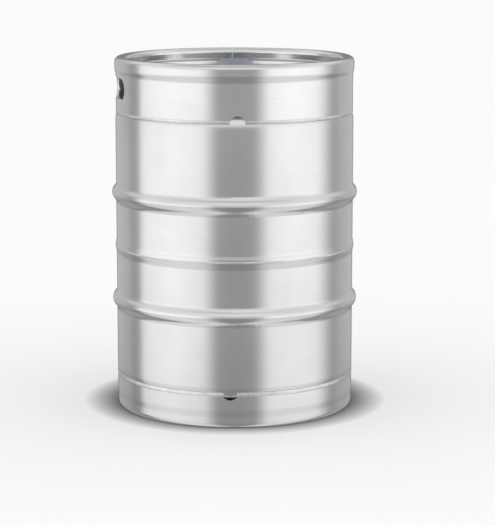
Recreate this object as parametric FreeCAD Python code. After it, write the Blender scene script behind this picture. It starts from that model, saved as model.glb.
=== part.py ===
import FreeCAD, Part
import math
import os

from FreeCAD import Vector

# A stainless steel beer keg: two drawn shell halves, two rolled chimes and a drop-in valve with its spear.
# Millimetres and degrees. Z is the keg's axis, z = 0 is the floor, and -Y is the front.

# Overall
KEG_HEIGHT = 591.0
BODY_RADIUS = 199.7
SHELL_WALL = 1.5

# Shell halves
UPPER_KNUCKLE_BELOW_RIM = 104.0
LOWER_KNUCKLE_HEIGHT = 67.0
KNUCKLE_RADIUS = 32.0
SEAM_BELOW_MIDDLE = 3.1
SEAM_SWAGE = 1.5
SEAM_SWAGE_REACH = 11.0
SEAM_WELD_WIDTH = 3.0
HOOP_FROM_SEAM = 90.3
HOOP_PROUD = 6.9
HOOP_REACH = 16.5
HOOP_FOOT_SHARE = 0.42
CROWN_RADIUS = 1100.0
SUMP_RADIUS = 30.0
SUMP_DEPTH = 4.0
SUMP_BLEND = 18.0

# Chimes
CHIME_SHEET = 2.0
TOP_CHIME_INSET = 1.0
TOP_RIM_SWELL = 1.9
TOP_RIM_SWELL_ABOVE_LIP = 0.3
TOP_RIM_BLEND = 13.0
BOTTOM_CHIME_INSET = 0.2
BOTTOM_RIM_TUCK = 0.7
BOTTOM_RIM_TUCK_HEIGHT = 30.0
BOTTOM_RIM_BLEND = 12.0
ROLL_RADIUS = 8.5
ROLL_LAND = 2.0
ROLL_LEG = 8.5

# Handholds in the top chime
HANDHOLD_WIDTH = 98.0
HANDHOLD_HEIGHT = 33.0
HANDHOLD_BELOW_RIM = 50.8
HANDHOLD_TURN = 10.0
LIP_RADIUS = 3.5
LIP_STRAIGHT = 2.5

# Drain notches, cut where each chime meets the shell
NOTCH_COUNT = 3
NOTCH_RADIUS = 13.5
NOTCH_PAST_WELD = 0.5
TOP_NOTCH_TURN = -88.2
BOTTOM_NOTCH_TURN = -91.8

# Welds
CHIME_WELD_GAP = 1.5
CHIME_WELD_INSET = 0.45
CHIME_WELD_CROWN = 0.25
SEAM_WELD_PROUD = 0.5
NECK_WELD_HOLLOW = 0.7
CHIME_SEAM_WIDTH = 3.2
CHIME_SEAM_PROUD = 0.3
TOP_SEAM_TURN = 91.5
BOTTOM_SEAM_TURN = 90.0
NECK_WELD_LEG = 4.0

# Neck fitting
NECK_WALL = 3.3
NECK_BELOW_RIM = 10.5
NECK_TUCK = 3.0
THROAT_LENGTH = 7.0
BAYONET_DEPTH = 3.2
SEAT_BELOW_TOP = 24.0
GROOVE_DEPTH = 1.5
SLOT_WIDTH = 13.0
NECK_CHAMFER = 0.8

# Valve body
BARREL_RADIUS = 19.8
BARREL_WALL = 1.8
FLANGE_THICKNESS = 4.0
GASKET_THICKNESS = 2.5
GASKET_WIDTH = 3.0
GAS_SEAT_WIDTH = 3.0
WINDOW_COUNT = 3
WINDOW_WIDTH = 14.0
WINDOW_HEIGHT = 13.0
WINDOW_GAP = 2.0
BARREL_BELOW_WINDOWS = 9.3
LOCK_TAB_WIDTH = 12.0

# Retaining ring
RING_TURNS = 2
RING_PITCH = 0.9
RING_STRIP = 0.8
RING_OVERLAP = 0.9

# Spear
TUBE_RADIUS = 7.95
TUBE_WALL = 1.0
TUBE_ABOVE_SUMP = 9.0
TUBE_NOTCH_RADIUS = 3.5
HEAD_RADIUS = 12.0
HEAD_WALL = 2.0
HEAD_TAPER = 5.0
SEAL_GAP = 0.7
SEAL_SKIRT = 6.0
SEAL_LIP = 3.0
SEAL_BOSS_HEIGHT = 3.0
ORIFICE_RADIUS = 6.0
ORIFICE_LAND = 1.0
SPRING_SEAT_THICKNESS = 1.5

# Beer ball and its spring
BALL_RADIUS = 7.0
BALL_TRAVEL = 3.0
BALL_ROOM_BELOW = 2.2
BALL_SPRING_RADIUS = 4.6
BALL_SPRING_WIRE = 0.8
BALL_SPRING_TURNS = 6
BALL_SPRING_LENGTH = 18.0
RETAINER_THICKNESS = 1.5
RETAINER_HOLE_RADIUS = 3.6

# Main spring and its cup
MAIN_SPRING_WIRE = 2.2
MAIN_SPRING_TURNS = 6
CUP_THICKNESS = 1.5
CUP_COLLAR_HEIGHT = 5.0
CUP_COLLAR_WALL = 1.5
CUP_ABOVE_BARREL_END = 2.5
CUP_TAB_WIDTH = 6.0

# Dust cap
CAP_THICKNESS = 3.0
CAP_WALL = 2.0
CAP_SKIRT = 12.5
CAP_FLARE = 2.8
CAP_EDGE_RADIUS = 1.6
CAP_FLARE_HEIGHT = 5.5
CAP_RIM_WIDTH = 5.5
CAP_DISH_DEPTH = 0.6

# Clearances
LOOSE_GAP = 0.3
RUNNING_GAP = 0.08
BALL_SEAT_GAP = 0.2
DROP_IN_GAP = 0.4
SPRING_END_GAP = 0.05

# Heights and radii that follow from the sizes above
UPPER_KNUCKLE_HEIGHT = KEG_HEIGHT - UPPER_KNUCKLE_BELOW_RIM
SEAM_HEIGHT = (UPPER_KNUCKLE_HEIGHT + LOWER_KNUCKLE_HEIGHT) / 2 - SEAM_BELOW_MIDDLE
KNUCKLE_CENTRE_RADIUS = BODY_RADIUS - KNUCKLE_RADIUS
CROWN_SPAN = CROWN_RADIUS - KNUCKLE_RADIUS
CROWN_CENTRE_DROP = math.sqrt(CROWN_SPAN ** 2 - KNUCKLE_CENTRE_RADIUS ** 2)
TOP_CHIME_RADIUS = BODY_RADIUS - TOP_CHIME_INSET
BOTTOM_CHIME_RADIUS = BODY_RADIUS - BOTTOM_CHIME_INSET
HANDHOLD_LEVEL = KEG_HEIGHT - HANDHOLD_BELOW_RIM
TOP_RIM_SWELL_HEIGHT = HANDHOLD_LEVEL + HANDHOLD_HEIGHT / 2 + LIP_RADIUS + TOP_RIM_SWELL_ABOVE_LIP
SEAT_BORE_RADIUS = BARREL_RADIUS + DROP_IN_GAP
FLANGE_RADIUS = SEAT_BORE_RADIUS + GASKET_WIDTH
THROAT_RADIUS = FLANGE_RADIUS + LOOSE_GAP
CHAMBER_RADIUS = THROAT_RADIUS + BAYONET_DEPTH
NECK_RADIUS = CHAMBER_RADIUS + NECK_WALL
NECK_TOP = KEG_HEIGHT - NECK_BELOW_RIM
SEAT_HEIGHT = NECK_TOP - SEAT_BELOW_TOP
FLANGE_BOTTOM = SEAT_HEIGHT + GASKET_THICKNESS
FLANGE_TOP = FLANGE_BOTTOM + FLANGE_THICKNESS
BARREL_BORE_RADIUS = BARREL_RADIUS - BARREL_WALL
GAS_OPENING_RADIUS = BARREL_BORE_RADIUS - GAS_SEAT_WIDTH
RING_HEIGHT = RING_PITCH * RING_TURNS + RING_STRIP
HEAD_TOP = FLANGE_BOTTOM - SEAL_LIP
HEAD_BORE_RADIUS = HEAD_RADIUS - HEAD_WALL
TUBE_BORE_RADIUS = TUBE_RADIUS - TUBE_WALL
SEAL_RADIUS = BARREL_BORE_RADIUS - SEAL_GAP
SPRING_SEAT_BOTTOM = FLANGE_BOTTOM - SEAL_SKIRT - SPRING_SEAT_THICKNESS
ORIFICE_EDGE_HEIGHT = FLANGE_BOTTOM - ORIFICE_LAND
BALL_DROP = math.sqrt(BALL_RADIUS ** 2 - ORIFICE_RADIUS ** 2) + BALL_SEAT_GAP
BALL_HEIGHT = ORIFICE_EDGE_HEIGHT - BALL_DROP
BALL_SPRING_DROP = math.sqrt(BALL_RADIUS ** 2 - BALL_SPRING_RADIUS ** 2) + BALL_SPRING_WIRE
BALL_SPRING_TOP = BALL_HEIGHT - BALL_SPRING_DROP
BALL_SPRING_BOTTOM = BALL_SPRING_TOP - BALL_SPRING_LENGTH
CUP_BORE_RADIUS = TUBE_RADIUS + RUNNING_GAP
CAP_TOP = NECK_TOP + CAP_THICKNESS
CAP_BORE_RADIUS = NECK_RADIUS + LOOSE_GAP
CAP_RADIUS = CAP_BORE_RADIUS + CAP_WALL
CAP_TOP_RADIUS = CAP_RADIUS - CAP_FLARE
CAP_DISH_RADIUS = CAP_TOP_RADIUS - CAP_RIM_WIDTH

AXIS = Vector(0, 0, 1)
ORIGIN = Vector(0, 0, 0)


def point(radius, height):
    """A point of the half section: radius along +X, height along +Z."""
    return Vector(radius, 0, height)


def polar(length, angle):
    """A step of the half section, its angle measured from +X towards +Z."""
    return Vector(length * math.cos(math.radians(angle)), 0, length * math.sin(math.radians(angle)))


class Outline:
    """A smooth chain of lines and arcs in the half section, drawn by moving ahead and bending."""

    def __init__(self, radius, height, heading):
        self.place = point(radius, height)
        self.heading = heading
        self.start = (self.place, heading)
        self.moves = []
        self.edges = []

    def ahead(self, length):
        end = self.place + polar(length, self.heading)
        self.edges.append(Part.LineSegment(self.place, end).toShape())
        self.moves.append((length, 0.0))
        self.place = end

    def bend(self, radius, angle):
        """An arc through angle degrees, to the left when positive."""
        side = math.copysign(90, angle)
        centre = self.place + polar(radius, self.heading + side)
        middle = centre + polar(radius, self.heading + angle / 2 - side)
        end = centre + polar(radius, self.heading + angle - side)
        self.edges.append(Part.Arc(self.place, middle, end).toShape())
        self.moves.append((radius, angle))
        self.place = end
        self.heading += angle

    def shift(self, sideways, length, first_share=0.5):
        """Two opposite arcs that move the line sideways, to the left when positive, over a length."""
        angle = 2 * math.degrees(math.atan2(sideways, length))
        both_radii = abs(length / math.sin(math.radians(angle)))
        self.bend(both_radii * first_share, angle)
        self.bend(both_radii * (1 - first_share), -angle)

    def beside(self, distance):
        """The same outline at a distance to the left."""
        place, heading = self.start
        place = place + polar(distance, heading + 90)
        other = Outline(place.x, place.z, heading)
        for size, angle in self.moves:
            if angle:
                other.bend(size - distance * math.copysign(1, angle), angle)
            else:
                other.ahead(size)
        return other

    def sheet(self, thickness, proud=0.0):
        """The section of a sheet whose outer side is the outline, and whose thickness lies to its left."""
        outer = self.beside(-proud)
        inner = self.beside(thickness + proud)
        ends = [
            Part.LineSegment(outer.start[0], inner.start[0]).toShape(),
            Part.LineSegment(outer.place, inner.place).toShape(),
        ]
        return Part.Face(Part.Wire(Part.__sortEdges__(outer.edges + inner.edges + ends)))


def turned(face, start=0.0, sweep=360.0):
    """The solid that a half section makes when it is turned about the axis."""
    placed = face.copy()
    placed.rotate(ORIGIN, AXIS, start)
    shell = placed.revolve(ORIGIN, AXIS, sweep).Shells[0]
    solid = Part.makeSolid(shell)
    if solid.Volume < 0:
        solid.reverse()
    return solid


def lathe(corners):
    """A turned solid with straight sides between its corners, each given as (radius, height)."""
    wire = Part.makePolygon([point(*corner) for corner in corners + corners[:1]])
    return turned(Part.Face(wire))


def ring(inner, outer, bottom, top):
    return lathe([(inner, bottom), (outer, bottom), (outer, top), (inner, top)])


def spoke(inner, outer, width, bottom, top, angle):
    """A block that runs outward from the axis at an angle, with its far end rounded to the outer radius."""
    block = Part.makeBox(outer - inner, width, top - bottom, Vector(inner, -width / 2, bottom))
    block = block.common(Part.makeCylinder(outer, top))
    block.rotate(ORIGIN, AXIS, angle)
    return block


def around(count, start=0.0):
    return [start + 360.0 * index / count for index in range(count)]


def wound(section, radius, pitch, turns):
    """The solid that a wire section in the plane of +X and +Z makes when it is wound up the axis."""
    half_turn = Part.makeHelix(pitch, pitch / 2, radius).Edges[0]
    path = []
    for index in range(2 * turns):
        edge = half_turn.copy()
        edge.rotate(ORIGIN, AXIS, 180 * index)
        edge.translate(AXIS * (index * pitch / 2))
        path.append(edge)
    sweep = Part.BRepOffsetAPI.MakePipeShell(Part.Wire(path))
    sweep.setBiNormalMode(AXIS)
    sweep.add(section)
    sweep.build()
    sweep.makeSolid()
    return sweep.shape()


def coil(radius, wire, bottom, top, turns):
    """A round-wire spring between two heights."""
    section = Part.Wire(Part.makeCircle(wire / 2, Vector(radius, 0, 0), Vector(0, 1, 0)))
    spring = wound(section, radius, (top - bottom - wire) / turns, turns)
    spring.translate(Vector(0, 0, bottom + wire / 2))
    return spring


# Shell halves


def half_shell_outline(knuckle_from_seam):
    """Half of the body from its middle seam to the dome's crown arc, with the seam at height 0."""
    outline = Outline(BODY_RADIUS + SEAM_SWAGE, SEAM_WELD_WIDTH / 2, 90)
    outline.shift(SEAM_SWAGE, SEAM_SWAGE_REACH)
    outline.ahead(HOOP_FROM_SEAM - HOOP_REACH - outline.place.z)
    outline.shift(-HOOP_PROUD, HOOP_REACH, HOOP_FOOT_SHARE)
    outline.shift(HOOP_PROUD, HOOP_REACH, 1 - HOOP_FOOT_SHARE)
    outline.ahead(knuckle_from_seam - outline.place.z)
    outline.bend(KNUCKLE_RADIUS, 90 - crown_angle_at_knuckle())
    return outline


def crown_angle_at_knuckle():
    return math.degrees(math.asin(KNUCKLE_CENTRE_RADIUS / CROWN_SPAN))


def crown_angle(radius):
    return math.degrees(math.asin(radius / CROWN_RADIUS))


def dome_height(radius):
    """Height of the upper dome's outer face at a radius inside the knuckle."""
    return UPPER_KNUCKLE_HEIGHT - CROWN_CENTRE_DROP + math.sqrt(CROWN_RADIUS ** 2 - radius ** 2)


def neck_bottom():
    return dome_height(NECK_RADIUS) - SHELL_WALL - NECK_TUCK


def window_top():
    return neck_bottom() - WINDOW_GAP


def barrel_end():
    return window_top() - WINDOW_HEIGHT - BARREL_BELOW_WINDOWS


def cup_bottom():
    return barrel_end() + CUP_ABOVE_BARREL_END


def cup_top():
    return cup_bottom() + CUP_THICKNESS


def make_upper_shell():
    outline = half_shell_outline(UPPER_KNUCKLE_HEIGHT - SEAM_HEIGHT)
    outline.bend(CROWN_RADIUS, crown_angle_at_knuckle() - crown_angle(NECK_RADIUS / 2))
    shell = turned(outline.sheet(SHELL_WALL))
    shell.translate(Vector(0, 0, SEAM_HEIGHT))
    return shell.cut(Part.makeCylinder(NECK_RADIUS, KEG_HEIGHT))


def make_lower_shell():
    outline = half_shell_outline(SEAM_HEIGHT - LOWER_KNUCKLE_HEIGHT)
    outline.bend(CROWN_RADIUS, crown_angle_at_knuckle() - crown_angle(SUMP_RADIUS))
    outline.shift(-SUMP_DEPTH, SUMP_BLEND)
    outline.bend(SUMP_BLEND, 180 - outline.heading)
    outline.ahead(outline.place.x)
    shell = turned(outline.sheet(SHELL_WALL))
    shell.translate(Vector(0, 0, SEAM_HEIGHT))
    return shell.mirror(Vector(0, 0, SEAM_HEIGHT), AXIS)


def sump_floor_height(shell):
    """Height of the inside of the sump on the axis."""
    return shell.BoundBox.ZMin + SHELL_WALL


def make_seam_weld():
    """The bead that joins the two shell halves, slightly proud inside and out."""
    outer = BODY_RADIUS + SEAM_SWAGE
    inner = outer - SHELL_WALL
    low = SEAM_HEIGHT - SEAM_WELD_WIDTH / 2
    high = SEAM_HEIGHT + SEAM_WELD_WIDTH / 2
    edges = [
        Part.Arc(point(outer, low), point(outer + SEAM_WELD_PROUD, SEAM_HEIGHT), point(outer, high)).toShape(),
        Part.LineSegment(point(outer, high), point(inner, high)).toShape(),
        Part.Arc(point(inner, high), point(inner - SEAM_WELD_PROUD, SEAM_HEIGHT), point(inner, low)).toShape(),
        Part.LineSegment(point(inner, low), point(outer, low)).toShape(),
    ]
    return turned(Part.Face(Part.Wire(edges)))


# Chimes. Each is worked out as if it stood on the upper knuckle, and the bottom one is then turned over.


def knuckle_rise(radius):
    """How far the knuckle's outer face rises above its start at a radius."""
    return math.sqrt(KNUCKLE_RADIUS ** 2 - (radius - KNUCKLE_CENTRE_RADIUS) ** 2)


def chime_outline(radius, edge, swell, swell_from, swell_over, top):
    """A chime's outer side, from the edge on the knuckle to the end of its rolled rim."""
    outline = Outline(radius, edge, 90)
    outline.ahead(swell_from - edge)
    outline.shift(-swell, swell_over)
    outline.ahead(top - ROLL_RADIUS - outline.place.z)
    outline.bend(ROLL_RADIUS, 90)
    outline.ahead(ROLL_LAND)
    outline.bend(ROLL_RADIUS, 90)
    outline.ahead(ROLL_LEG)
    return outline


def top_chime_edge():
    return UPPER_KNUCKLE_HEIGHT + knuckle_rise(TOP_CHIME_RADIUS - CHIME_SHEET) + CHIME_WELD_GAP


def bottom_chime_edge():
    return LOWER_KNUCKLE_HEIGHT - knuckle_rise(BOTTOM_CHIME_RADIUS - CHIME_SHEET) - CHIME_WELD_GAP


def top_chime_outline():
    return chime_outline(
        TOP_CHIME_RADIUS, top_chime_edge(), TOP_RIM_SWELL, TOP_RIM_SWELL_HEIGHT, TOP_RIM_BLEND, KEG_HEIGHT
    )


def bottom_chime_outline():
    """The bottom chime turned over, so that its foot is at height 0 and the rest below."""
    return chime_outline(
        BOTTOM_CHIME_RADIUS,
        -bottom_chime_edge(),
        -BOTTOM_RIM_TUCK,
        -BOTTOM_RIM_TUCK_HEIGHT,
        BOTTOM_RIM_BLEND,
        0.0,
    )


def seam_angle(radius):
    """The share of the turn, in degrees, that a chime's butt weld takes."""
    return math.degrees(CHIME_SEAM_WIDTH / radius)


def make_strip(outline, radius, seam_turn):
    """A chime's strip, rolled round and open where its butt weld goes."""
    gap = seam_angle(radius)
    return turned(outline.sheet(CHIME_SHEET), seam_turn + gap / 2, 360 - gap)


def make_strip_seam(outline, radius, seam_turn, top):
    """The butt weld of a chime's strip, slightly proud of the sheet but ground flush where kegs stack."""
    gap = seam_angle(radius)
    seam = turned(outline.sheet(CHIME_SHEET, CHIME_SEAM_PROUD), seam_turn - gap / 2, gap)
    return seam.cut(Part.makeCylinder(KEG_HEIGHT, KEG_HEIGHT, Vector(0, 0, top)))


def obround_block(width, height, inner, outer):
    """A block along +X with an obround section, at the handholds' level."""
    straight = width - height
    block = Part.makeBox(
        outer - inner, straight, height, Vector(inner, -straight / 2, HANDHOLD_LEVEL - height / 2)
    )
    for side in (-1, 1):
        start = Vector(inner, side * straight / 2, HANDHOLD_LEVEL)
        end = Part.makeCylinder(height / 2, outer - inner, start, Vector(1, 0, 0))
        block = block.fuse(end)
    return block.removeSplitter()


def rim_edges(shape, radius, angle):
    """The edges that lie on a round wall of this radius around the handhold at an angle."""
    reach = HANDHOLD_HEIGHT / 2 + CHIME_SHEET + 0.5
    found = []
    for edge in shape.Edges:
        middle = edge.valueAt((edge.FirstParameter + edge.LastParameter) / 2)
        turn = math.degrees(math.atan2(middle.y, middle.x)) - angle
        facing = math.cos(math.radians(turn)) > 0.8
        on_wall = abs(math.hypot(middle.x, middle.y) - radius) < 0.01
        if facing and on_wall and abs(middle.z - HANDHOLD_LEVEL) < reach:
            found.append(edge)
    return found


def add_handhold(chime, angle):
    """An obround hole whose lip is rolled inward all round."""
    inside = TOP_CHIME_RADIUS - CHIME_SHEET
    lip_end = TOP_CHIME_RADIUS - LIP_RADIUS - LIP_STRAIGHT
    collar = obround_block(
        HANDHOLD_WIDTH + 2 * CHIME_SHEET, HANDHOLD_HEIGHT + 2 * CHIME_SHEET, lip_end / 2, KEG_HEIGHT
    )
    collar = collar.common(ring(lip_end, TOP_CHIME_RADIUS - CHIME_SHEET / 2, 0, KEG_HEIGHT))
    hole = obround_block(HANDHOLD_WIDTH, HANDHOLD_HEIGHT, lip_end / 2, KEG_HEIGHT)
    for tool in (collar, hole):
        tool.rotate(ORIGIN, AXIS, angle)
    chime = chime.fuse(collar)
    chime = chime.makeFillet(LIP_RADIUS - CHIME_SHEET, rim_edges(chime, inside, angle))
    chime = chime.cut(hole)
    return chime.makeFillet(LIP_RADIUS, rim_edges(chime, TOP_CHIME_RADIUS, angle))


def cut_notches(shape, height, turn):
    """Half-moon drain notches, cut through towards the axis."""
    for angle in around(NOTCH_COUNT, turn):
        start = Vector(BODY_RADIUS / 2, 0, height)
        notch = Part.makeCylinder(NOTCH_RADIUS, BODY_RADIUS, start, Vector(1, 0, 0))
        notch.rotate(ORIGIN, AXIS, angle)
        shape = shape.cut(notch)
    return shape


def top_notch_height():
    return top_weld_foot() - NOTCH_PAST_WELD


def bottom_notch_height():
    return bottom_weld_foot() + NOTCH_PAST_WELD


def turned_over(shape):
    return shape.mirror(ORIGIN, AXIS)


def make_top_chime():
    chime = make_strip(top_chime_outline(), TOP_CHIME_RADIUS, TOP_SEAM_TURN)
    chime = add_handhold(chime, HANDHOLD_TURN)
    chime = add_handhold(chime, HANDHOLD_TURN - 180)
    return cut_notches(chime, top_notch_height(), TOP_NOTCH_TURN)


def make_bottom_chime():
    chime = turned_over(make_strip(bottom_chime_outline(), BOTTOM_CHIME_RADIUS, BOTTOM_SEAM_TURN))
    return cut_notches(chime, bottom_notch_height(), BOTTOM_NOTCH_TURN)


def make_top_chime_seam():
    return make_strip_seam(top_chime_outline(), TOP_CHIME_RADIUS, TOP_SEAM_TURN, KEG_HEIGHT)


def make_bottom_chime_seam():
    seam = make_strip_seam(bottom_chime_outline(), BOTTOM_CHIME_RADIUS, BOTTOM_SEAM_TURN, 0.0)
    return turned_over(seam)


# Welds between the chimes and the shell


def top_weld_foot():
    return UPPER_KNUCKLE_HEIGHT + knuckle_rise(TOP_CHIME_RADIUS - CHIME_WELD_INSET)


def bottom_weld_foot():
    return LOWER_KNUCKLE_HEIGHT - knuckle_rise(BOTTOM_CHIME_RADIUS - CHIME_WELD_INSET)


def chime_weld_ring(chime_radius, knuckle_height):
    """The weld that fills the gap between the knuckle and the edge of a chime above it."""
    inner = chime_radius - CHIME_SHEET
    outer = chime_radius - CHIME_WELD_INSET
    halfway = (inner + outer) / 2
    foot = point(outer, knuckle_height + knuckle_rise(outer))
    bed = point(halfway, knuckle_height + knuckle_rise(halfway))
    root = point(inner, knuckle_height + knuckle_rise(inner))
    edge = root + Vector(0, 0, CHIME_WELD_GAP)
    toe = point(chime_radius, edge.z)
    crown = (foot + toe) / 2 + polar(CHIME_WELD_CROWN, 0)
    edges = [
        Part.Arc(foot, bed, root).toShape(),
        Part.LineSegment(root, edge).toShape(),
        Part.LineSegment(edge, toe).toShape(),
        Part.Arc(toe, crown, foot).toShape(),
    ]
    return turned(Part.Face(Part.Wire(edges)))


def make_top_chime_weld():
    weld = chime_weld_ring(TOP_CHIME_RADIUS, UPPER_KNUCKLE_HEIGHT)
    return cut_notches(weld, top_notch_height(), TOP_NOTCH_TURN)


def make_bottom_chime_weld():
    weld = turned_over(chime_weld_ring(BOTTOM_CHIME_RADIUS, -LOWER_KNUCKLE_HEIGHT))
    return cut_notches(weld, bottom_notch_height(), BOTTOM_NOTCH_TURN)


# Neck


def make_neck():
    """The fitting that the valve drops into, with a bayonet throat for the coupler."""
    bottom = neck_bottom()
    groove = CHAMBER_RADIUS + GROOVE_DEPTH
    ring_top = FLANGE_TOP + RING_HEIGHT + LOOSE_GAP
    neck = lathe([
        (SEAT_BORE_RADIUS, bottom),
        (NECK_RADIUS, bottom),
        (NECK_RADIUS, NECK_TOP - NECK_CHAMFER),
        (NECK_RADIUS - NECK_CHAMFER, NECK_TOP),
        (THROAT_RADIUS + NECK_CHAMFER, NECK_TOP),
        (THROAT_RADIUS, NECK_TOP - NECK_CHAMFER),
        (THROAT_RADIUS, NECK_TOP - THROAT_LENGTH),
        (CHAMBER_RADIUS, NECK_TOP - THROAT_LENGTH),
        (CHAMBER_RADIUS, ring_top),
        (groove, ring_top),
        (groove, FLANGE_TOP),
        (CHAMBER_RADIUS, FLANGE_TOP),
        (CHAMBER_RADIUS, SEAT_HEIGHT),
        (SEAT_BORE_RADIUS, SEAT_HEIGHT),
    ])
    for angle in around(2, HANDHOLD_TURN):
        neck = neck.cut(spoke(0, CHAMBER_RADIUS, SLOT_WIDTH, NECK_TOP - THROAT_LENGTH, NECK_TOP, angle))
    return neck


def make_neck_weld():
    """A hollow fillet of weld between the dome and the neck."""
    outer = NECK_RADIUS + NECK_WELD_LEG
    halfway = NECK_RADIUS + NECK_WELD_LEG / 2
    foot = point(outer, dome_height(outer))
    bed = point(halfway, dome_height(halfway))
    corner = point(NECK_RADIUS, dome_height(NECK_RADIUS))
    toe = corner + Vector(0, 0, NECK_WELD_LEG)
    hollow = (foot + toe) / 2 - polar(NECK_WELD_HOLLOW, 45)
    edges = [
        Part.Arc(corner, bed, foot).toShape(),
        Part.Arc(foot, hollow, toe).toShape(),
        Part.LineSegment(toe, corner).toShape(),
    ]
    return turned(Part.Face(Part.Wire(edges)))


def make_neck_gasket():
    inner = SEAT_BORE_RADIUS
    return ring(inner, inner + GASKET_WIDTH, SEAT_HEIGHT, FLANGE_BOTTOM)


def make_retaining_ring():
    """A flat spiral of strip that springs into the groove above the valve's flange."""
    inner = FLANGE_RADIUS - RING_OVERLAP
    outer = CHAMBER_RADIUS + GROOVE_DEPTH - LOOSE_GAP
    half = RING_STRIP / 2
    strip = Part.makePolygon([
        Vector(inner, 0, -half),
        Vector(outer, 0, -half),
        Vector(outer, 0, half),
        Vector(inner, 0, half),
        Vector(inner, 0, -half),
    ])
    spiral = wound(strip, (inner + outer) / 2, RING_PITCH, RING_TURNS)
    spiral.translate(Vector(0, 0, FLANGE_TOP + half + SPRING_END_GAP))
    return spiral


# Valve body


def make_valve_body():
    """A flanged barrel that carries the gas seat, with windows for the gas and tabs that lock it."""
    body = lathe([
        (GAS_OPENING_RADIUS, FLANGE_TOP),
        (FLANGE_RADIUS, FLANGE_TOP),
        (FLANGE_RADIUS, FLANGE_BOTTOM),
        (BARREL_RADIUS, FLANGE_BOTTOM),
        (BARREL_RADIUS, barrel_end()),
        (BARREL_BORE_RADIUS, barrel_end()),
        (BARREL_BORE_RADIUS, FLANGE_BOTTOM),
        (GAS_OPENING_RADIUS, FLANGE_BOTTOM),
    ])
    tab_end = CHAMBER_RADIUS - LOOSE_GAP
    for angle in around(2, HANDHOLD_TURN + 90):
        tab = spoke(BARREL_RADIUS, tab_end, LOCK_TAB_WIDTH, FLANGE_BOTTOM, FLANGE_TOP, angle)
        body = body.fuse(tab)
    top = window_top()
    for angle in around(WINDOW_COUNT, HANDHOLD_TURN):
        body = body.cut(spoke(HEAD_RADIUS, NECK_RADIUS, WINDOW_WIDTH, top - WINDOW_HEIGHT, top, angle))
    for slot in cup_tabs(NECK_RADIUS):
        body = body.cut(slot)
    return body.removeSplitter()


def cup_tabs(outer):
    """The blocks where the spring cup's tabs pass through the barrel."""
    turn = HANDHOLD_TURN + 180.0 / WINDOW_COUNT
    return [
        spoke(BARREL_BORE_RADIUS - CUP_TAB_WIDTH, outer, CUP_TAB_WIDTH, cup_bottom(), cup_top(), angle)
        for angle in around(WINDOW_COUNT, turn)
    ]


def make_spring_cup():
    """The plate that carries the main spring and guides the tube."""
    collar = CUP_BORE_RADIUS + CUP_COLLAR_WALL
    cup = lathe([
        (CUP_BORE_RADIUS, cup_bottom()),
        (BARREL_BORE_RADIUS, cup_bottom()),
        (BARREL_BORE_RADIUS, cup_top()),
        (collar, cup_top()),
        (collar, cup_top() + CUP_COLLAR_HEIGHT),
        (CUP_BORE_RADIUS, cup_top() + CUP_COLLAR_HEIGHT),
    ])
    for tab in cup_tabs(BARREL_RADIUS):
        cup = cup.fuse(tab)
    return cup.removeSplitter()


def make_main_spring():
    radius = (HEAD_RADIUS + BARREL_BORE_RADIUS) / 2
    return coil(radius, MAIN_SPRING_WIRE, cup_top(), SPRING_SEAT_BOTTOM - SPRING_END_GAP, MAIN_SPRING_TURNS)


# Spear


def make_down_tube(sump_floor):
    """The tube that draws beer from the sump, with a head that holds the ball."""
    end = sump_floor + TUBE_ABOVE_SUMP
    taper_top = BALL_HEIGHT - BALL_TRAVEL - BALL_ROOM_BELOW
    taper_end = taper_top - HEAD_TAPER
    tube = lathe([
        (TUBE_BORE_RADIUS, end),
        (TUBE_RADIUS, end),
        (TUBE_RADIUS, taper_end),
        (HEAD_RADIUS, taper_top),
        (HEAD_RADIUS, HEAD_TOP),
        (HEAD_BORE_RADIUS, HEAD_TOP),
        (HEAD_BORE_RADIUS, taper_top),
        (TUBE_BORE_RADIUS, taper_end),
    ])
    notch = Part.makeCylinder(
        TUBE_NOTCH_RADIUS, 4 * TUBE_RADIUS, Vector(-2 * TUBE_RADIUS, 0, end), Vector(1, 0, 0)
    )
    return tube.cut(notch)


def make_valve_seal():
    """The rubber seal on the tube's head: its step closes the gas seat and its orifice seats the ball."""
    boss = GAS_OPENING_RADIUS - 2 * LOOSE_GAP
    boss_top = FLANGE_BOTTOM + SEAL_BOSS_HEIGHT
    return lathe([
        (HEAD_RADIUS, FLANGE_BOTTOM - SEAL_SKIRT),
        (SEAL_RADIUS, FLANGE_BOTTOM - SEAL_SKIRT),
        (SEAL_RADIUS, FLANGE_BOTTOM),
        (boss, FLANGE_BOTTOM),
        (boss, boss_top),
        (ORIFICE_RADIUS + ORIFICE_LAND, boss_top),
        (ORIFICE_RADIUS, boss_top - ORIFICE_LAND),
        (ORIFICE_RADIUS, ORIFICE_EDGE_HEIGHT),
        (HEAD_BORE_RADIUS, HEAD_TOP),
        (HEAD_RADIUS, HEAD_TOP),
    ])


def make_spring_seat():
    return ring(HEAD_RADIUS, SEAL_RADIUS, SPRING_SEAT_BOTTOM, SPRING_SEAT_BOTTOM + SPRING_SEAT_THICKNESS)


def make_beer_ball():
    return Part.makeSphere(BALL_RADIUS, Vector(0, 0, BALL_HEIGHT))


def make_ball_spring():
    return coil(BALL_SPRING_RADIUS, BALL_SPRING_WIRE, BALL_SPRING_BOTTOM, BALL_SPRING_TOP, BALL_SPRING_TURNS)


def make_ball_spring_retainer():
    top = BALL_SPRING_BOTTOM
    return ring(RETAINER_HOLE_RADIUS, TUBE_BORE_RADIUS, top - RETAINER_THICKNESS, top)


# Dust cap


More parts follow.
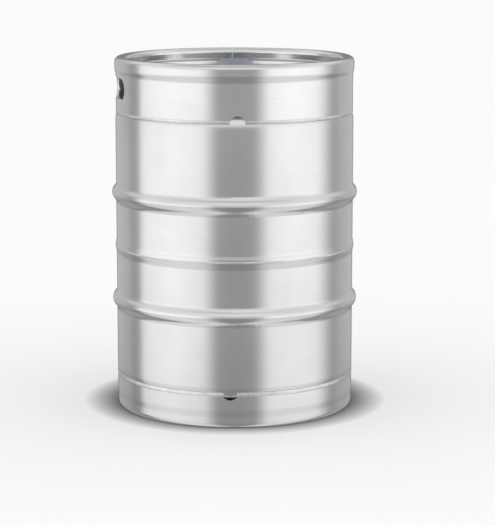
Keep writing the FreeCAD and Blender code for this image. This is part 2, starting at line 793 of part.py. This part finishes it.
def make_dust_cap():
    """A plastic cap that drops over the neck."""
    flare_bottom = CAP_TOP - CAP_FLARE_HEIGHT
    dish_edge = CAP_DISH_RADIUS + CAP_DISH_DEPTH
    edge_angle = 45.0
    shoulder = point(CAP_TOP_RADIUS - CAP_EDGE_RADIUS, CAP_TOP - CAP_EDGE_RADIUS)
    corners = [
        point(CAP_TOP_RADIUS, shoulder.z),
        point(CAP_RADIUS, flare_bottom),
        point(CAP_RADIUS, NECK_TOP - CAP_SKIRT),
        point(CAP_BORE_RADIUS, NECK_TOP - CAP_SKIRT),
        point(CAP_BORE_RADIUS, NECK_TOP),
        point(0, NECK_TOP),
        point(0, CAP_TOP - CAP_DISH_DEPTH),
        point(CAP_DISH_RADIUS, CAP_TOP - CAP_DISH_DEPTH),
        point(dish_edge, CAP_TOP),
        point(shoulder.x, CAP_TOP),
    ]
    edges = Part.makePolygon(corners).Edges
    rounding = Part.Arc(corners[-1], shoulder + polar(CAP_EDGE_RADIUS, edge_angle), corners[0])
    edges.append(rounding.toShape())
    return turned(Part.Face(Part.Wire(edges)))


def build():
    lower_shell = make_lower_shell()
    return {
        "upper_shell": make_upper_shell(),
        "lower_shell": lower_shell,
        "shell_seam_weld": make_seam_weld(),
        "top_chime": make_top_chime(),
        "top_chime_weld": make_top_chime_weld(),
        "top_chime_seam": make_top_chime_seam(),
        "bottom_chime": make_bottom_chime(),
        "bottom_chime_weld": make_bottom_chime_weld(),
        "bottom_chime_seam": make_bottom_chime_seam(),
        "neck_fitting": make_neck(),
        "neck_weld": make_neck_weld(),
        "neck_gasket": make_neck_gasket(),
        "retaining_ring": make_retaining_ring(),
        "valve_body": make_valve_body(),
        "spring_cup": make_spring_cup(),
        "main_spring": make_main_spring(),
        "down_tube": make_down_tube(sump_floor_height(lower_shell)),
        "valve_seal": make_valve_seal(),
        "spring_seat": make_spring_seat(),
        "beer_ball": make_beer_ball(),
        "ball_spring": make_ball_spring(),
        "ball_spring_retainer": make_ball_spring_retainer(),
        "dust_cap": make_dust_cap(),
    }


os.makedirs("parts", exist_ok=True)
for name, shape in build().items():
    shape.exportStep("parts/" + name + ".step")
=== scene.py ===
import math

import bpy
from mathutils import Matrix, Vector, noise


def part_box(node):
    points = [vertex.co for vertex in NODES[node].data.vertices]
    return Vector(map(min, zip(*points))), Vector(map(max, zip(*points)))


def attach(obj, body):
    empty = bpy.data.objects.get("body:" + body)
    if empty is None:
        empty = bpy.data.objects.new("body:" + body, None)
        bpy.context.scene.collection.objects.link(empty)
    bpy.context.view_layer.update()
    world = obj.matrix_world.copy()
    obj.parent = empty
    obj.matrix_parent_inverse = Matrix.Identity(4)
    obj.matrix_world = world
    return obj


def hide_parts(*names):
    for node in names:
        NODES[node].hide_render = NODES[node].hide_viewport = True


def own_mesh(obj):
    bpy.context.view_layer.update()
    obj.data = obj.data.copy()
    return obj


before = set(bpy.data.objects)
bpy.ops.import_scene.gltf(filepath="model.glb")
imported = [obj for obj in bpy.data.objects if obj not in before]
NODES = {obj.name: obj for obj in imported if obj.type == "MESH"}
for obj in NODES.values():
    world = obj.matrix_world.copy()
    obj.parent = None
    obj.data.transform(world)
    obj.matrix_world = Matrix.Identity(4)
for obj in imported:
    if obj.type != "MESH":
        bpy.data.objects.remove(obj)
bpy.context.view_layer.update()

MM = 0.001

# Camera: a long lens in front of the keg, looking slightly down on it
CAMERA_PLACE = (0.0219, -3.504, 0.8541)
CAMERA_PITCH = -9.94
CAMERA_LENS = 143.5

# Studio surroundings by azimuth round the keg, from the camera's side towards +X: (degrees, brightness)
SURROUND = (
    (-180.0, 0.30),
    (-168.0, 0.34),
    (-158.0, 0.78),
    (-124.0, 0.74),
    (-117.0, 0.52),
    (-105.0, 0.52),
    (-100.0, 1.56),
    (-60.0, 1.80),
    (-29.0, 1.62),
    (-17.0, 0.57),
    (21.0, 0.57),
    (33.0, 1.64),
    (60.0, 1.74),
    (88.0, 1.62),
    (108.0, 0.60),
    (116.0, 0.60),
    (123.0, 0.76),
    (158.0, 0.80),
    (168.0, 0.34),
    (180.0, 0.30),
)

# Light from above by the upward part of a direction, later towards the back; the zenith is dimmer
OVERHEAD_BRIGHTNESS = 1.25
OVERHEAD_FROM = 0.02
OVERHEAD_FULL = 0.55
OVERHEAD_BACK_SHIFT = 0.35
ZENITH_FROM = 0.72
ZENITH_FULL = 0.95
ZENITH_SHARE = 0.65

# Extra light on matt surfaces, so that the floor is as pale as the backdrop
DIFFUSE_GAIN = 0.30

# Light from below the horizon, which the lower parts of the keg reflect
LOW_DARKENS_FROM = -0.17
LOW_DARKENS_TO = -0.27
LOW_SHARE = 0.72

# Backdrop and floor, and the painted contact shadow: a darkened ring on the floor round the foot, which is
# set a little to the back
BACKDROP_COLOUR = (0.94, 0.94, 0.945)
FLOOR_COLOUR = (0.96, 0.96, 0.962)
FLOOR_HALF_WIDTH = 40.0
CONTACT_SHADOW_SHARE = 0.10
CONTACT_SHADOW_REACH = 0.060
CONTACT_SHADOW_BACK = 0.022
CONTACT_SHADOW_INSIDE = 0.010
CONTACT_SHADOW_EASE = 1.3

# Weld beads, in millimetres
RIPPLE_PITCH = 2.6
RIPPLE_SAMPLES = 5
BEAD_STEPS = 7
CHIME_SHEET = 2.0
CHIME_BEAD_INSET = 0.45
CHIME_BEAD_PROUD = 0.42
SEAM_BEAD_WIDTH = 3.4
SEAM_BEAD_PROUD = 0.55
NECK_BEAD_PROUD = 0.4
CHIME_WELD_DEPTH = 3.0
CHIME_BEAD_OVERLAP = 0.2
SHELL_SHEET = 1.5
SEAM_WELD_PROUD = 0.5
NECK_BEAD_OVERLAP = 0.2

# Springs: (node, body it stands on, joint that presses it, that joint's travel in millimetres)
SPRINGS = (
    ("main_spring", "keg", "gas_valve_press", 5.0),
    ("ball_spring", "spear", "beer_valve_press", 3.0),
)

# Painted shade in the crevices between each chime and the dome, where the chimes' shadow falls: its reach
# in metres and its colour
CREVICE_SHADE_RADIUS = 0.186
CREVICE_SHADE_COLOUR = (0.10, 0.10, 0.10)


class Shader:
    """A material under construction, with short helpers for its nodes."""

    def __init__(self, name):
        self.material = bpy.data.materials.new(name)
        self.material.use_nodes = True
        self.tree = self.material.node_tree
        self.bsdf = self.tree.nodes["Principled BSDF"]

    def node(self, kind, **settings):
        made = self.tree.nodes.new(kind)
        for key, value in settings.items():
            setattr(made, key, value)
        return made

    def link(self, source, target):
        self.tree.links.new(source, target)

    def math(self, operation, first, second=None):
        made = self.node("ShaderNodeMath", operation=operation)
        for slot, value in enumerate((first, second)):
            if value is None:
                continue
            if isinstance(value, (int, float)):
                made.inputs[slot].default_value = value
            else:
                self.link(value, made.inputs[slot])
        return made.outputs[0]

    def place(self):
        """The point on the surface, in metres."""
        return self.node("ShaderNodeTexCoord").outputs["Object"]

    def xyz(self):
        parts = self.node("ShaderNodeSeparateXYZ")
        self.link(self.place(), parts.inputs[0])
        return parts.outputs

    def radius(self, back=0.0):
        """Distance from the keg's axis, or from a line that far behind it."""
        x, y, _ = self.xyz()
        y = self.math("SUBTRACT", y, back)
        return self.math("SQRT", self.math("ADD", self.math("MULTIPLY", x, x), self.math("MULTIPLY", y, y)))

    def wrapped(self, along, across, depth=0.0):
        """Coordinates round the keg's axis: turn times along, height times across, radius times depth."""
        x, y, z = self.xyz()
        turn = self.math("ARCTAN2", y, x)
        joined = self.node("ShaderNodeCombineXYZ")
        self.link(self.math("MULTIPLY", turn, along), joined.inputs[0])
        self.link(self.math("MULTIPLY", z, across), joined.inputs[1])
        self.link(self.math("MULTIPLY", self.radius(), depth), joined.inputs[2])
        return joined.outputs[0]

    def noise(self, where, scale, detail=3.0, rough=0.55):
        made = self.node("ShaderNodeTexNoise")
        made.inputs["Scale"].default_value = scale
        made.inputs["Detail"].default_value = detail
        made.inputs["Roughness"].default_value = rough
        self.link(where, made.inputs["Vector"])
        return made.outputs["Fac"]

    def span(self, value, low, high, start=0.0, end=1.0):
        """value, mapped from start..end to low..high and held inside that."""
        made = self.node("ShaderNodeMapRange")
        made.inputs["From Min"].default_value = start
        made.inputs["From Max"].default_value = end
        made.inputs["To Min"].default_value = low
        made.inputs["To Max"].default_value = high
        self.link(value, made.inputs["Value"])
        return made.outputs["Result"]

    def blend(self, factor, first, second):
        """A colour between two, each an RGB triple or a socket."""
        made = self.node("ShaderNodeMix", data_type="RGBA")
        self.link(factor, made.inputs["Factor"])
        for socket, value in (("A", first), ("B", second)):
            target = [i for i in made.inputs if i.name == socket and i.type == "RGBA"][0]
            if isinstance(value, tuple):
                target.default_value = (*value, 1.0)
            else:
                self.link(value, target)
        return [o for o in made.outputs if o.type == "RGBA"][0]

    def bump(self, height, distance, strength=1.0):
        made = self.node("ShaderNodeBump")
        made.inputs["Distance"].default_value = distance
        made.inputs["Strength"].default_value = strength
        self.link(height, made.inputs["Height"])
        self.link(made.outputs["Normal"], self.bsdf.inputs["Normal"])

    def set(self, **values):
        for name, value in values.items():
            socket = self.bsdf.inputs[name.replace("_", " ")]
            socket.default_value = (*value, 1.0) if isinstance(value, tuple) else value

    def drive(self, name, source):
        self.link(source, self.bsdf.inputs[name.replace("_", " ")])


def crevice_shade(shader):
    """1 in the crevices behind the two chimes, where the shell's colour is darkened as painted shade, 0
    elsewhere on the shell.
    """
    height = shader.xyz()[2]
    top_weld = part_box("top_chime_weld")[1].z
    bottom_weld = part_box("bottom_chime_weld")[0].z
    outside = shader.span(shader.radius(), 0.0, 1.0, CREVICE_SHADE_RADIUS - 12 * MM, CREVICE_SHADE_RADIUS)
    above = shader.span(height, 0.0, 1.0, top_weld + 1 * MM, top_weld + 7 * MM)
    below = shader.span(height, 1.0, 0.0, bottom_weld - 7 * MM, bottom_weld - 1 * MM)
    return shader.math("MULTIPLY", outside, shader.math("MAXIMUM", above, below))


def brushed_steel(name, tone, rough, shell=False):
    """Satin stainless, brushed round the keg: fine lines, cloudy tone and faint handling marks."""
    grain_along, grain_across, grain_bump = 9.0, 2600.0, 0.012 * MM
    shader = Shader(name)
    grain = shader.noise(shader.wrapped(grain_along, grain_across, 400.0), 1.0, 4.0, 0.6)
    clouds = shader.noise(shader.place(), 9.0, 3.0, 0.5)
    marks = shader.noise(shader.wrapped(60.0, 420.0), 1.0, 2.0, 0.7)
    dark = tuple(0.93 * c for c in tone)
    light = tuple(min(1.0, 1.03 * c) for c in tone)
    toned = shader.blend(shader.span(clouds, 0.0, 1.0, 0.3, 0.7), dark, light)
    lined = shader.blend(shader.span(grain, 0.0, 0.18, 0.42, 0.62), toned, tuple(0.8 * c for c in tone))
    if shell:
        # painted shade: the shell's colour goes dark in the crevices behind the chimes
        lined = shader.blend(crevice_shade(shader), lined, CREVICE_SHADE_COLOUR)
    shader.drive("Base Color", lined)
    worn = shader.math("ADD", shader.span(grain, -0.035, 0.035), shader.span(marks, -0.02, 0.03, 0.35, 0.7))
    shader.drive("Roughness", shader.math("ADD", worn, rough))
    shader.set(Metallic=1.0, Anisotropic=0.35)
    tangent = shader.node("ShaderNodeTangent", direction_type="RADIAL", axis="Z")
    shader.link(tangent.outputs[0], shader.bsdf.inputs["Tangent"])
    shader.bump(grain, grain_bump)
    return shader.material


def weld_metal(name):
    """Pickled weld bead: coarser and a little duller than the sheet."""
    shader = Shader(name)
    ripple = shader.noise(shader.wrapped(220.0, 300.0), 1.0, 3.0, 0.6)
    tint = shader.noise(shader.place(), 45.0, 2.0, 0.5)
    toned = shader.blend(shader.span(tint, 0.0, 1.0, 0.35, 0.65), (0.66, 0.655, 0.645), (0.76, 0.76, 0.755))
    shader.drive("Base Color", toned)
    shader.drive("Roughness", shader.span(ripple, 0.26, 0.44, 0.3, 0.7))
    shader.set(Metallic=1.0)
    shader.bump(ripple, 0.12 * MM)
    return shader.material


def machined_steel(name, tone, rough):
    """Turned stainless with fine tool lines."""
    shader = Shader(name)
    lines = shader.noise(shader.wrapped(2.0, 6000.0, 6000.0), 1.0, 2.0, 0.5)
    toned = shader.blend(shader.span(lines, 0.0, 1.0, 0.35, 0.65), tone, tuple(0.85 * c for c in tone))
    shader.drive("Base Color", toned)
    shader.drive("Roughness", shader.span(lines, rough - 0.04, rough + 0.06))
    shader.set(Metallic=1.0, Anisotropic=0.3)
    shader.bump(lines, 0.015 * MM)
    return shader.material


def moulded(name, dark, light, rough, gloss=0.0, bump=0.04 * MM, scale=900.0):
    """Moulded plastic or rubber: soft colour variation over a fine spark-eroded grain."""
    shader = Shader(name)
    shader.set(Coat_Weight=gloss, Coat_Roughness=0.12)
    clouds = shader.noise(shader.place(), 40.0, 3.0, 0.5)
    grain = shader.noise(shader.place(), scale, 3.0, 0.6)
    shader.drive("Base Color", shader.blend(shader.span(clouds, 0.0, 1.0, 0.3, 0.7), dark, light))
    shader.drive("Roughness", shader.span(grain, rough - 0.05, rough + 0.08))
    shader.bump(grain, bump)
    return shader.material


def dress(material, *names):
    for name in names:
        mesh = NODES[name].data
        mesh.materials.clear()
        mesh.materials.append(material)


def free_arcs(node, least=math.radians(5.0)):
    """The stretches of turn that a ring-shaped node fills, as (start, end), between its wide gaps."""
    turns = sorted({round(math.atan2(v.co.y, v.co.x), 5) for v in NODES[node].data.vertices})
    following = turns[1:] + [turns[0] + 2.0 * math.pi]
    gaps = [(here, ahead) for here, ahead in zip(turns, following) if ahead - here > least]
    if not gaps:
        return [(0.0, 2.0 * math.pi)]
    ends = [gap[0] for gap in gaps[1:]] + [gaps[0][0] + 2.0 * math.pi]
    return [(gap[1], end) for gap, end in zip(gaps, ends)]


def bead_section(turn, foot, toe, proud, back):
    """The bead's section at one turn, as (radius, height): its rippled face from foot to toe, then back."""
    drift = noise.noise(Vector((turn * 40.0, foot[1] * 300.0, 0.0)))
    size = 1.0 + 0.35 * drift + 0.25 * noise.noise(Vector((turn * 210.0, 3.0, foot[1] * 90.0)))
    length = math.hypot(toe[0] - foot[0], toe[1] - foot[1])
    outward = ((toe[1] - foot[1]) / length, (foot[0] - toe[0]) / length)
    ripples = round(2.0 * math.pi * foot[0] / (RIPPLE_PITCH * MM))
    section = []
    for step in range(BEAD_STEPS + 1):
        share = step / BEAD_STEPS
        swell = math.sin(math.pi * share)
        crest = 0.5 + 0.5 * math.cos(ripples * turn + 2.4 * swell)
        lift = proud * size * swell * (0.45 + 0.55 * crest)
        slide = 0.25 * MM * drift * (1.0 - swell)
        radius = foot[0] + (toe[0] - foot[0]) * share + outward[0] * lift
        height = foot[1] + (toe[1] - foot[1]) * share + outward[1] * lift + slide
        section.append((radius, height))
    return section + list(back)


def weld_bead(node, foot, toe, proud, back):
    """A rippled bead that stands for a CAD weld, with closed ends wherever the weld stops."""
    points, faces = [], []
    for start, end in free_arcs(node):
        whole = end - start > 2.0 * math.pi - 0.001
        steps = round((end - start) * foot[0] * RIPPLE_SAMPLES / (RIPPLE_PITCH * MM))
        first = len(points)
        rows = steps if whole else steps + 1
        for row in range(rows):
            turn = start + (end - start) * row / steps
            section = bead_section(turn, foot, toe, proud, back)
            points += [(r * math.cos(turn), r * math.sin(turn), z) for r, z in section]
        wide = len(section)
        for row in range(steps):
            here = first + row * wide
            ahead = first + ((row + 1) % rows) * wide
            for side in range(wide):
                other = (side + 1) % wide
                faces.append((here + side, ahead + side, ahead + other, here + other))
        if not whole:
            faces.append(tuple(range(first, first + wide)))
            faces.append(tuple(reversed(range(len(points) - wide, len(points)))))
    mesh = bpy.data.meshes.new(node + "_bead")
    mesh.from_pydata(points, [], faces)
    mesh.validate()
    mesh.shade_smooth()
    bead = bpy.data.objects.new(node + "_bead", mesh)
    bpy.context.scene.collection.objects.link(bead)
    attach(bead, "keg")
    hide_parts(node)
    return bead


def make_weld_beads(material):
    low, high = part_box("top_chime_weld")
    inner = high.x - CHIME_SHEET * MM
    foot = (high.x - CHIME_BEAD_INSET * MM, low.z)
    toe = (high.x, high.z + CHIME_BEAD_OVERLAP * MM)
    back = [(inner, high.z), (inner, low.z + CHIME_WELD_DEPTH * MM)]
    top = weld_bead("top_chime_weld", foot, toe, CHIME_BEAD_PROUD * MM, back)

    low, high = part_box("bottom_chime_weld")
    inner = high.x - CHIME_SHEET * MM
    foot = (high.x, low.z - CHIME_BEAD_OVERLAP * MM)
    toe = (high.x - CHIME_BEAD_INSET * MM, high.z)
    back = [(inner, high.z - CHIME_WELD_DEPTH * MM), (inner, low.z)]
    bottom = weld_bead("bottom_chime_weld", foot, toe, CHIME_BEAD_PROUD * MM, back)

    low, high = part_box("shell_seam_weld")
    skin = high.x - SEAM_WELD_PROUD * MM
    inner = skin - SHELL_SHEET * MM
    spread = (SEAM_BEAD_WIDTH * MM - (high.z - low.z)) / 2
    foot = (skin, low.z - spread)
    toe = (skin, high.z + spread)
    back = [(inner, high.z), (inner, low.z)]
    seam = weld_bead("shell_seam_weld", foot, toe, SEAM_BEAD_PROUD * MM, back)

    low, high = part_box("neck_weld")
    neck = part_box("neck_fitting")[1].x
    back = [(neck - NECK_BEAD_OVERLAP * MM, low.z)]
    neck_bead = weld_bead("neck_weld", (high.x, low.z), (neck, high.z), NECK_BEAD_PROUD * MM, back)
    for bead in (top, bottom, seam, neck_bead):
        bead.data.materials.append(material)


def make_springs(material):
    """Copies of the spring coils in the spring wire, each attached to the body it stands on."""
    for node, body, joint, travel in SPRINGS:
        coil = bpy.data.objects.new(node + "_coil", NODES[node].data.copy())
        coil.matrix_world = NODES[node].matrix_world.copy()
        bpy.context.scene.collection.objects.link(coil)
        coil.data.materials.clear()
        coil.data.materials.append(material)
        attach(coil, body)
        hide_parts(node)
        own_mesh(coil)


def make_camera():
    data = bpy.data.cameras.new("camera")
    data.lens = CAMERA_LENS
    data.sensor_width = 36.0
    camera = bpy.data.objects.new("camera", data)
    camera.location = CAMERA_PLACE
    camera.rotation_euler = (math.radians(90.0 + CAMERA_PITCH), 0.0, 0.0)
    bpy.context.scene.collection.objects.link(camera)
    bpy.context.scene.camera = camera


def make_floor():
    """A wide pale floor with a painted contact shadow round the foot; the keg's reflections come from the
    studio surroundings alone.
    """
    mesh = bpy.data.meshes.new("floor")
    half = FLOOR_HALF_WIDTH
    corners = [(-half, -half, 0), (half, -half, 0), (half, half, 0), (-half, half, 0)]
    mesh.from_pydata(corners, [], [(0, 1, 2, 3)])
    floor = bpy.data.objects.new("floor", mesh)
    bpy.context.scene.collection.objects.link(floor)
    shader = Shader("floor_paper")
    specks = shader.noise(shader.place(), 220.0, 2.0, 0.5)
    paper = shader.blend(specks, FLOOR_COLOUR, tuple(0.985 * c for c in FLOOR_COLOUR))
    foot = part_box("bottom_chime")[1].x
    # painted contact shadow: the floor's colour darkens towards the keg's foot
    away = shader.span(shader.radius(CONTACT_SHADOW_BACK), 0.0, 1.0, foot - CONTACT_SHADOW_INSIDE, foot + CONTACT_SHADOW_REACH)
    eased = shader.math("POWER", away, CONTACT_SHADOW_EASE)
    painted_shadow = tuple(CONTACT_SHADOW_SHARE * c for c in FLOOR_COLOUR)
    shader.drive("Base Color", shader.blend(eased, painted_shadow, paper))
    shader.set(Roughness=0.9)
    mesh.materials.append(shader.material)
    floor.visible_glossy = False


def make_surroundings():
    """A soft studio: pale panels round the keg, a ceiling with a dimmer zenith, and a plain backdrop."""
    world = bpy.data.worlds.new("studio")
    bpy.context.scene.world = world
    world.use_nodes = True
    nodes, links = world.node_tree.nodes, world.node_tree.links
    nodes.clear()

    def math_node(operation, *values):
        made = nodes.new("ShaderNodeMath")
        made.operation = operation
        for slot, value in enumerate(values):
            if isinstance(value, (int, float)):
                made.inputs[slot].default_value = value
            else:
                links.new(value, made.inputs[slot])
        return made.outputs[0]

    direction = nodes.new("ShaderNodeTexCoord").outputs["Generated"]
    parts = nodes.new("ShaderNodeSeparateXYZ")
    links.new(direction, parts.inputs[0])
    x, y, z = parts.outputs
    azimuth = math_node("ARCTAN2", x, math_node("MULTIPLY", y, -1.0))
    ramp = nodes.new("ShaderNodeValToRGB")
    peak = max(level for _, level in SURROUND)
    stops = ramp.color_ramp.elements
    while len(stops) < len(SURROUND):
        stops.new(0.5)
    for stop, (angle, level) in zip(stops, SURROUND):
        stop.position = (angle + 180.0) / 360.0
        shade = level / peak
        stop.color = (shade, shade, shade, 1.0)
    links.new(math_node("ADD", math_node("DIVIDE", azimuth, 2.0 * math.pi), 0.5), ramp.inputs[0])

    def share_of_height(height, start, end, low, high):
        made = nodes.new("ShaderNodeMapRange")
        made.interpolation_type = "SMOOTHSTEP"
        for name, value in (("From Min", start), ("From Max", end), ("To Min", low), ("To Max", high)):
            made.inputs[name].default_value = value
        links.new(height, made.inputs["Value"])
        return made.outputs["Result"]

    dimmed = share_of_height(z, LOW_DARKENS_TO, LOW_DARKENS_FROM, LOW_SHARE, 1.0)
    around = math_node("MULTIPLY", math_node("MULTIPLY", ramp.outputs[0], peak), dimmed)
    behind = math_node("MULTIPLY", math_node("MAXIMUM", y, 0.0), OVERHEAD_BACK_SHIFT)
    above = share_of_height(math_node("SUBTRACT", z, behind), OVERHEAD_FROM, OVERHEAD_FULL, 0.0, 1.0)
    dimmer = share_of_height(z, ZENITH_FROM, ZENITH_FULL, 1.0, ZENITH_SHARE)
    overhead = math_node("MULTIPLY", dimmer, OVERHEAD_BRIGHTNESS)
    level = math_node("ADD", math_node("MULTIPLY", around, math_node("SUBTRACT", 1.0, above)),
                      math_node("MULTIPLY", above, overhead))
    path = nodes.new("ShaderNodeLightPath")
    gain = math_node("ADD", math_node("MULTIPLY", path.outputs["Is Diffuse Ray"], DIFFUSE_GAIN), 1.0)
    studio = nodes.new("ShaderNodeBackground")
    links.new(math_node("MULTIPLY", level, gain), studio.inputs["Strength"])
    backdrop = nodes.new("ShaderNodeBackground")
    backdrop.inputs["Color"].default_value = (*BACKDROP_COLOUR, 1.0)
    mix = nodes.new("ShaderNodeMixShader")
    links.new(path.outputs["Is Camera Ray"], mix.inputs[0])
    links.new(studio.outputs[0], mix.inputs[1])
    links.new(backdrop.outputs[0], mix.inputs[2])
    output = nodes.new("ShaderNodeOutputWorld")
    links.new(mix.outputs[0], output.inputs[0])


make_camera()
make_floor()
make_surroundings()
bpy.context.scene.view_settings.view_transform = "Standard"
bpy.context.scene.cycles.glossy_bounces = 12

dress(brushed_steel("shell_steel", (0.70, 0.70, 0.695), 0.20, shell=True), "upper_shell", "lower_shell")
dress(brushed_steel("chime_steel", (0.71, 0.71, 0.705), 0.18), "top_chime", "bottom_chime")
weld_steel = weld_metal("weld_steel")
dress(weld_steel, "top_chime_seam", "bottom_chime_seam")
make_weld_beads(weld_steel)
dress(machined_steel("turned_steel", (0.66, 0.66, 0.66), 0.24), "neck_fitting", "valve_body", "spring_cup",
      "down_tube", "spring_seat", "ball_spring_retainer")
spring_wire = machined_steel("spring_wire", (0.52, 0.52, 0.53), 0.28)
dress(spring_wire, "retaining_ring")
make_springs(spring_wire)
dress(machined_steel("ball_steel", (0.8, 0.8, 0.8), 0.08), "beer_ball")
dress(moulded("seal_rubber", (0.012, 0.012, 0.013), (0.03, 0.03, 0.031), 0.6), "valve_seal", "neck_gasket")
dress(moulded("cap_plastic", (0.17, 0.20, 0.265), (0.215, 0.25, 0.32), 0.35, gloss=1.0), "dust_cap")
